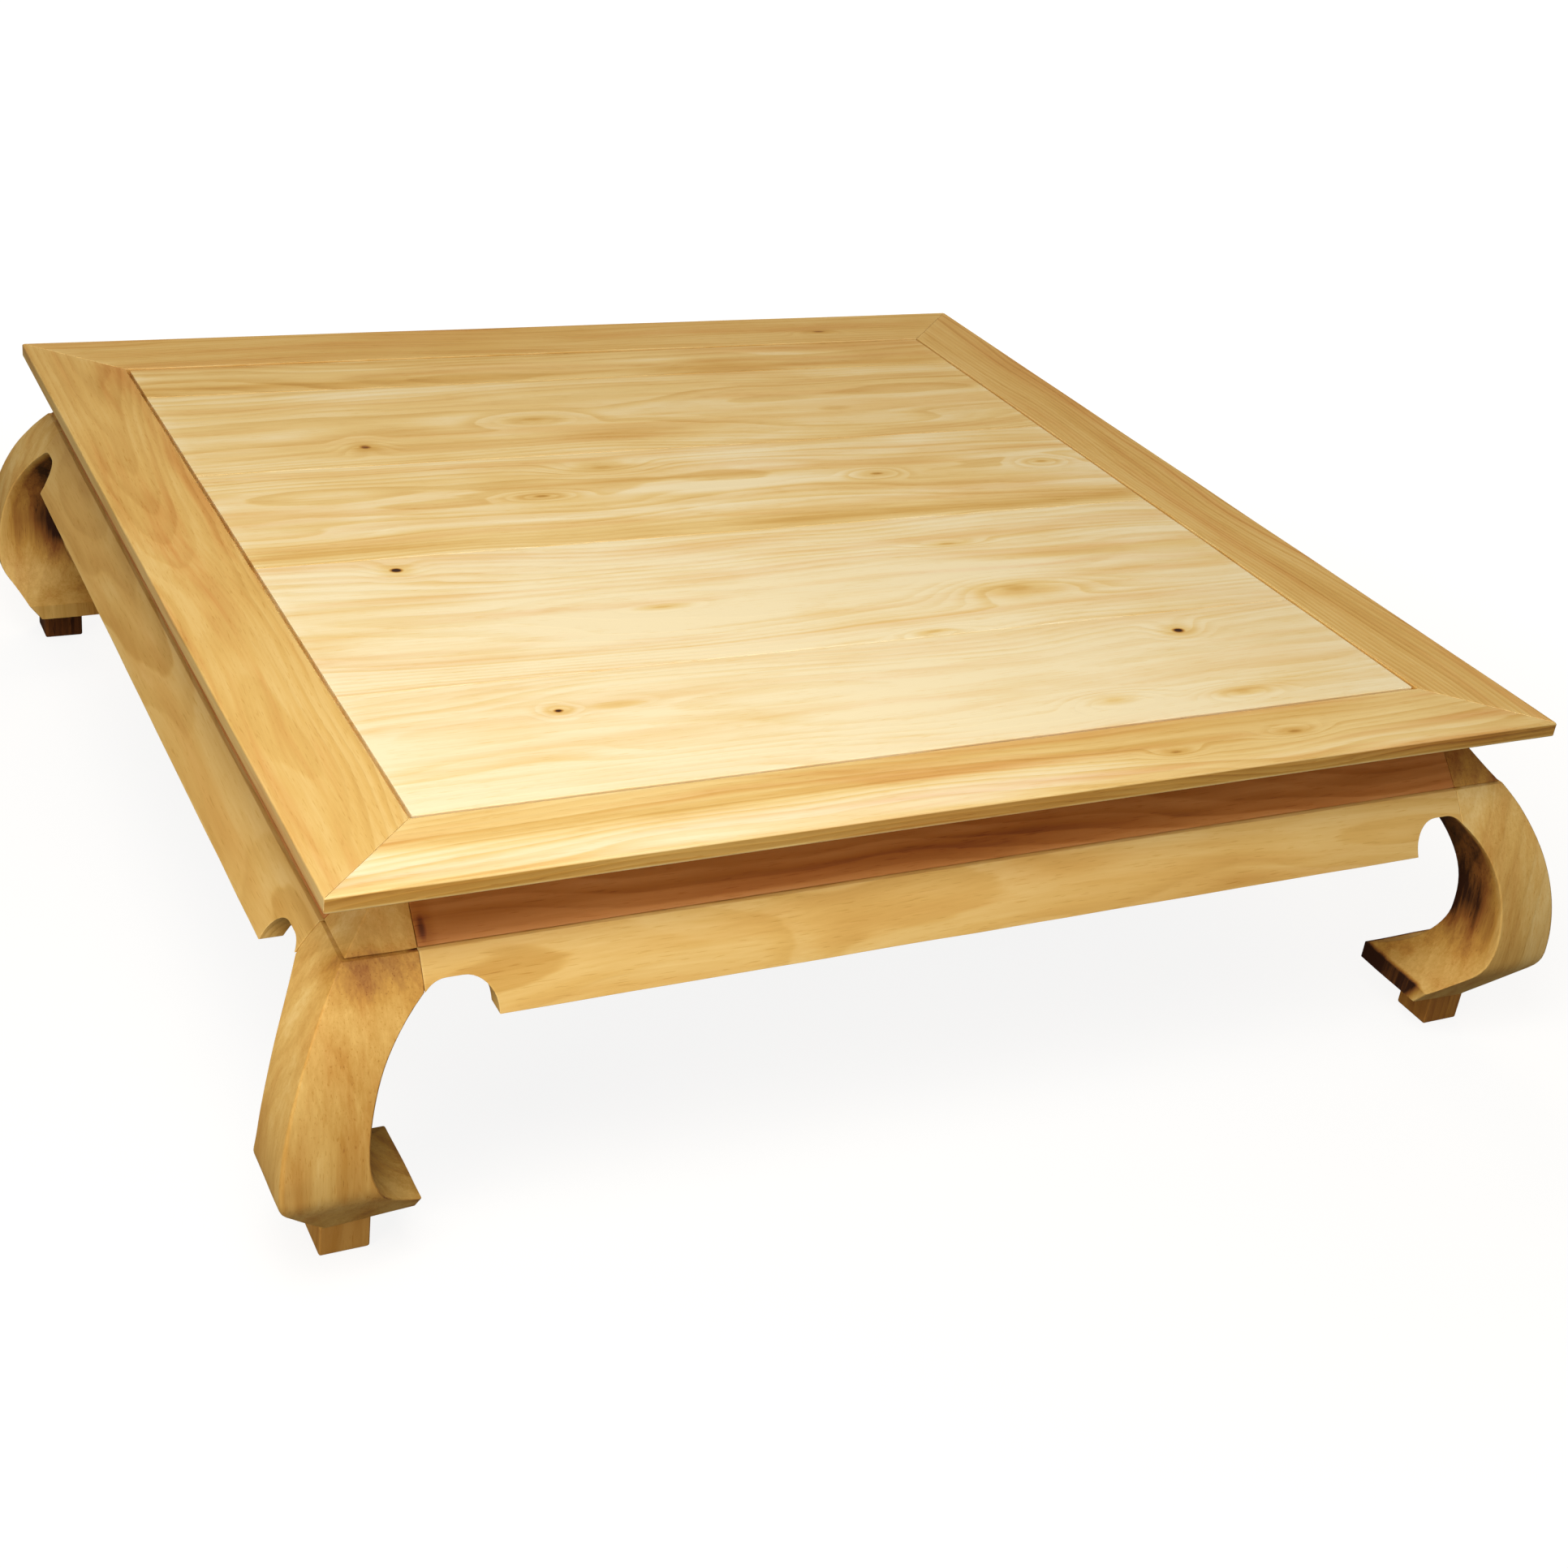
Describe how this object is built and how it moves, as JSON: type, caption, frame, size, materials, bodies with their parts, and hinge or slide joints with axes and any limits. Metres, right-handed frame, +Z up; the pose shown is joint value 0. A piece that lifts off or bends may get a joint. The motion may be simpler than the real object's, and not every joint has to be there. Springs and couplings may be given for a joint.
{
  "type": "kang table",
  "caption": "Low square wooden table with a framed panel top, recessed waist, arched aprons and in-curving scroll legs on square foot pads.",
  "frame": {"origin": "on the floor under the middle of the top", "axes": "+Z up; +X to the right along the front; +Y from the front edge to the back edge"},
  "size_m": [1.28, 1.28, 0.345],
  "materials": {
    "frame_wood": "oiled, satin",
    "panel_wood": "oiled, satin",
    "waist_wood": "oiled, satin",
    "base_wood": "oiled, satin",
    "foot_wood": "oiled, satin",
    "bearer_wood": "oiled, satin",
    "dowel_wood": "oiled, satin"
  },
  "bodies": {
    "root": {"apron_back": "base_wood", "apron_front": "base_wood", "apron_left": "base_wood", "apron_pegs": "dowel_wood", "apron_right": "base_wood", "bearer_left": "bearer_wood", "bearer_middle": "bearer_wood", "bearer_right": "bearer_wood", "foot_pad_back_left": "foot_wood", "foot_pad_back_right": "foot_wood", "foot_pad_front_left": "foot_wood", "foot_pad_front_right": "foot_wood", "leg_back_left": "base_wood", "leg_back_right": "base_wood", "leg_front_left": "base_wood", "leg_front_right": "base_wood", "panel_board_1_front": "panel_wood", "panel_board_2_front_inner": "panel_wood", "panel_board_3_middle": "panel_wood", "panel_board_4_back_inner": "panel_wood", "panel_board_5_back": "panel_wood", "top_rail_back": "frame_wood", "top_rail_front": "frame_wood", "top_rail_left": "frame_wood", "top_rail_right": "frame_wood", "waist_board_back": "waist_wood", "waist_board_front": "waist_wood", "waist_board_left": "waist_wood", "waist_board_right": "waist_wood", "waist_dowels": "dowel_wood"}
  },
  "joints": []
}
